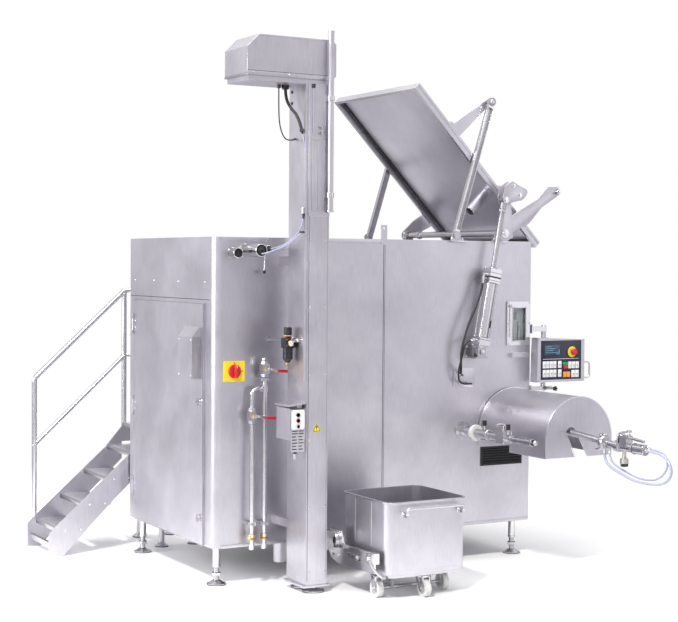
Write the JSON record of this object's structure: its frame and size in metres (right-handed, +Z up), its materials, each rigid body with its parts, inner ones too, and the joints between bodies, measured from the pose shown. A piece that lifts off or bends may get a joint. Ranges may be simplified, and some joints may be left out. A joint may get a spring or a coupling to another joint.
{
  "type": "mixing meat grinder with bin lift",
  "caption": "Large stainless mixing meat grinder with tilting hopper lid, column bin lift and bin, half-round outlet hood, swivel control panel and service stairs.",
  "frame": {"origin": "centre of the underside of the front left levelling foot, on the floor", "axes": "+X along the front wall to the right, +Y from the front wall into the machine, +Z up"},
  "size_m": [4.012, 4.195, 3.972],
  "materials": {
    "brushed_steel": "brushed stainless sheet",
    "bright_steel": "polished stainless",
    "machined_steel": "turned and milled steel",
    "cast_grey": "grey machine paint",
    "black_plastic": "black moulded plastic",
    "white_nylon": "white nylon",
    "white_hose_plastic": "white plastic tube",
    "black_rubber": "black hose rubber",
    "window_glass": "clear safety glass",
    "red_plastic": "red moulded plastic",
    "yellow_plastic": "yellow moulded plastic",
    "white_plastic": "white moulded plastic"
  },
  "bodies": {
    "machine": {"cabinet_shell": "brushed_steel", "levelling_feet": "bright_steel", "window_frame": "bright_steel", "window_pane": "window_glass", "vent_grille": "black_plastic", "mixing_trough": "brushed_steel", "gear_motors": "cast_grey", "grinder_barrel": "machined_steel", "hole_plate": "machined_steel", "separator_valve": "bright_steel", "actuator_housing": "bright_steel", "lid_bearings": "machined_steel", "lift_column": "brushed_steel", "column_cover": "brushed_steel", "drive_housing": "brushed_steel", "lift_control_box": "brushed_steel", "stair_frame": "brushed_steel", "stair_treads": "brushed_steel", "handrail": "bright_steel", "panel_arms": "bright_steel", "main_switch_plate": "yellow_plastic", "water_pipes": "bright_steel", "filter_regulator": "black_plastic", "tube_fixture": "bright_steel", "white_hose": "white_hose_plastic", "drive_conduit": "black_rubber", "outlet_hose": "white_hose_plastic"},
    "service_door_body": {"service_door": "brushed_steel"},
    "front_mixer_body": {"front_mixer": "machined_steel"},
    "back_mixer_body": {"back_mixer": "machined_steel"},
    "feed_auger_body": {"feed_auger": "machined_steel"},
    "grinder_shaft_body": {"grinder_worm": "machined_steel", "knife": "machined_steel"},
    "ring_nut_body": {"ring_nut": "machined_steel"},
    "outlet_hood_body": {"outlet_hood": "brushed_steel"},
    "actuator_rod_body": {"actuator_rod": "machined_steel"},
    "lid_arms_body": {"lid_arms": "bright_steel"},
    "lid_body": {"lid": "brushed_steel"},
    "lid_crank_body": {"lid_crank": "bright_steel"},
    "lid_cylinder_body": {"lid_cylinder": "bright_steel", "cylinder_hose": "black_rubber"},
    "cylinder_rod_body": {"cylinder_rod": "machined_steel"},
    "lift_carriage_body": {"lift_carriage": "machined_steel"},
    "tipping_body": {"tipping_arm": "bright_steel", "bin_tub": "brushed_steel"},
    "bin_axle_body": {"bin_axle_wheels": "white_nylon"},
    "front_caster_body": {"front_caster_fork": "bright_steel"},
    "front_caster_wheel_body": {"front_caster_wheel": "white_nylon"},
    "rear_caster_body": {"rear_caster_fork": "bright_steel"},
    "rear_caster_wheel_body": {"rear_caster_wheel": "white_nylon"},
    "lift_button_up_body": {"lift_button_up": "black_plastic"},
    "lift_button_down_body": {"lift_button_down": "white_plastic"},
    "lift_button_stop_body": {"lift_button_stop": "red_plastic"},
    "control_panel_body": {"control_panel": "brushed_steel"},
    "e_stop_body": {"e_stop_button": "red_plastic"},
    "clamp_knob_body": {"clamp_knob": "black_plastic"},
    "main_switch_body": {"main_switch_knob": "red_plastic"},
    "upper_lever_body": {"upper_valve_lever": "red_plastic"},
    "lower_lever_body": {"lower_valve_lever": "red_plastic"},
    "regulator_knob_body": {"regulator_knob": "black_plastic"}
  },
  "joints": [
    {"name": "service_door_hinge", "type": "hinge", "parent": "machine", "child": "service_door_body", "pos_m": [-0.092, 1.392, 1.15], "axis": [0, 0, -1], "range_deg": [0, 95]},
    {"name": "front_mixer_turn", "type": "hinge", "parent": "machine", "child": "front_mixer_body", "pos_m": [1.308, 0.3, 1.56], "axis": [1, 0, 0], "continuous": true},
    {"name": "back_mixer_turn", "type": "hinge", "parent": "machine", "child": "back_mixer_body", "pos_m": [1.308, 0.9, 1.56], "axis": [1, 0, 0], "continuous": true},
    {"name": "feed_auger_turn", "type": "hinge", "parent": "machine", "child": "feed_auger_body", "pos_m": [1.308, 0.6, 1.043], "axis": [1, 0, 0], "continuous": true},
    {"name": "grinder_shaft_turn", "type": "hinge", "parent": "machine", "child": "grinder_shaft_body", "pos_m": [2.543, -0.1, 1.043], "axis": [0, 1, 0], "continuous": true},
    {"name": "ring_nut_turn", "type": "hinge", "parent": "machine", "child": "ring_nut_body", "pos_m": [2.543, -0.43, 1.043], "axis": [0, 1, 0], "continuous": true},
    {"name": "outlet_hood_slide", "type": "slide", "parent": "machine", "child": "outlet_hood_body", "axis": [0, -1, 0], "range_m": [0, 0.35]},
    {"name": "actuator_stroke", "type": "slide", "parent": "machine", "child": "actuator_rod_body", "axis": [0, 1, 0], "range_m": [0, 0.12]},
    {"name": "lid_arms_swing", "type": "hinge", "parent": "machine", "child": "lid_arms_body", "pos_m": [2.015, -0.07, 2.567], "axis": [0, 1, 0], "range_deg": [-85.17, 0]},
    {"name": "lid_on_arms", "type": "hinge", "parent": "lid_arms_body", "child": "lid_body", "pos_m": [2.34489, -0.07, 3.62707], "axis": [0, 1, 0], "range_deg": [0, 39.2]},
    {"name": "lid_crank_turn", "type": "hinge", "parent": "machine", "child": "lid_crank_body", "pos_m": [2.427, -0.1, 2.59], "axis": [0, 1, 0], "range_deg": [-100, 0]},
    {"name": "lid_cylinder_swing", "type": "hinge", "parent": "machine", "child": "lid_cylinder_body", "pos_m": [2.169, -0.195, 1.654], "axis": [0, 1, 0], "range_deg": [-9.9, 0]},
    {"name": "lid_cylinder_stroke", "type": "slide", "parent": "lid_cylinder_body", "child": "cylinder_rod_body", "axis": [0.1792, 0, 0.9838], "range_m": [-0.37, 0]},
    {"name": "bin_lift", "type": "slide", "parent": "machine", "child": "lift_carriage_body", "axis": [0, 0, 1], "range_m": [0, 2.75]},
    {"name": "bin_tilt", "type": "hinge", "parent": "lift_carriage_body", "child": "tipping_body", "pos_m": [0.628, -0.46, 0.35], "axis": [-1, 0, 0], "range_deg": [0, 120.2]},
    {"name": "bin_axle_roll", "type": "hinge", "parent": "tipping_body", "child": "bin_axle_body", "pos_m": [1.1, -0.89, 0.062], "axis": [1, 0, 0], "continuous": true},
    {"name": "front_caster_swivel", "type": "hinge", "parent": "tipping_body", "child": "front_caster_body", "pos_m": [1.131, -1.005, 0.15], "axis": [0, 0, 1], "continuous": true},
    {"name": "front_caster_roll", "type": "hinge", "parent": "front_caster_body", "child": "front_caster_wheel_body", "pos_m": [1.131, -1.033, 0.062], "axis": [1, 0, 0], "continuous": true},
    {"name": "rear_caster_swivel", "type": "hinge", "parent": "tipping_body", "child": "rear_caster_body", "pos_m": [1.131, -0.5, 0.15], "axis": [0, 0, 1], "continuous": true},
    {"name": "rear_caster_roll", "type": "hinge", "parent": "rear_caster_body", "child": "rear_caster_wheel_body", "pos_m": [1.131, -0.528, 0.062], "axis": [1, 0, 0], "continuous": true},
    {"name": "lift_button_up_press", "type": "slide", "parent": "machine", "child": "lift_button_up_body", "axis": [0, 1, 0], "range_m": [0, 0.004], "stiffness_N_per_m": 400, "springref_m": -0.002},
    {"name": "lift_button_down_press", "type": "slide", "parent": "machine", "child": "lift_button_down_body", "axis": [0, 1, 0], "range_m": [0, 0.004], "stiffness_N_per_m": 400, "springref_m": -0.002},
    {"name": "lift_button_stop_press", "type": "slide", "parent": "machine", "child": "lift_button_stop_body", "axis": [0, 1, 0], "range_m": [0, 0.004], "stiffness_N_per_m": 400, "springref_m": -0.002},
    {"name": "control_panel_swing", "type": "hinge", "parent": "machine", "child": "control_panel_body", "pos_m": [2.855, -0.11, 1.58], "axis": [0, 0, 1], "range_deg": [-8, 95]},
    {"name": "e_stop_press", "type": "slide", "parent": "control_panel_body", "child": "e_stop_body", "axis": [0, 1, 0], "range_m": [0, 0.006], "stiffness_N_per_m": 800, "springref_m": -0.002},
    {"name": "clamp_knob_turn", "type": "hinge", "parent": "machine", "child": "clamp_knob_body", "pos_m": [2.916, -0.17, 1.343], "axis": [0, 1, 0], "range_deg": [0, 350]},
    {"name": "main_switch_turn", "type": "hinge", "parent": "machine", "child": "main_switch_body", "pos_m": [0.085, -0.12, 1.559], "axis": [0, 1, 0], "range_deg": [0, 90]},
    {"name": "upper_lever_turn", "type": "hinge", "parent": "machine", "child": "upper_lever_body", "pos_m": [0.294, -0.238, 1.576], "axis": [0, 1, 0], "range_deg": [0, 90]},
    {"name": "lower_lever_turn", "type": "hinge", "parent": "machine", "child": "lower_lever_body", "pos_m": [0.195, -0.238, 1.24], "axis": [0, 1, 0], "range_deg": [0, 90]},
    {"name": "regulator_knob_turn", "type": "hinge", "parent": "machine", "child": "regulator_knob_body", "pos_m": [0.365, -0.399, 1.851], "axis": [0, 0, 1], "range_deg": [-150, 150]}
  ],
  "couplings": [
    {"joint": "back_mixer_turn", "follows": "front_mixer_turn", "ratio": -1},
    {"joint": "lid_on_arms", "follows": "lid_arms_swing", "ratio": -0.4599},
    {"joint": "lid_crank_turn", "follows": "lid_arms_swing", "ratio": 1.1729},
    {"joint": "lid_cylinder_swing", "follows": "lid_arms_swing", "ratio": 0.11495},
    {"joint": "lid_cylinder_stroke", "follows": "lid_arms_swing", "m_per_rad": 0.24575},
    {"joint": "bin_tilt", "follows": "bin_lift", "rad_per_m": 0.7616}
  ]
}
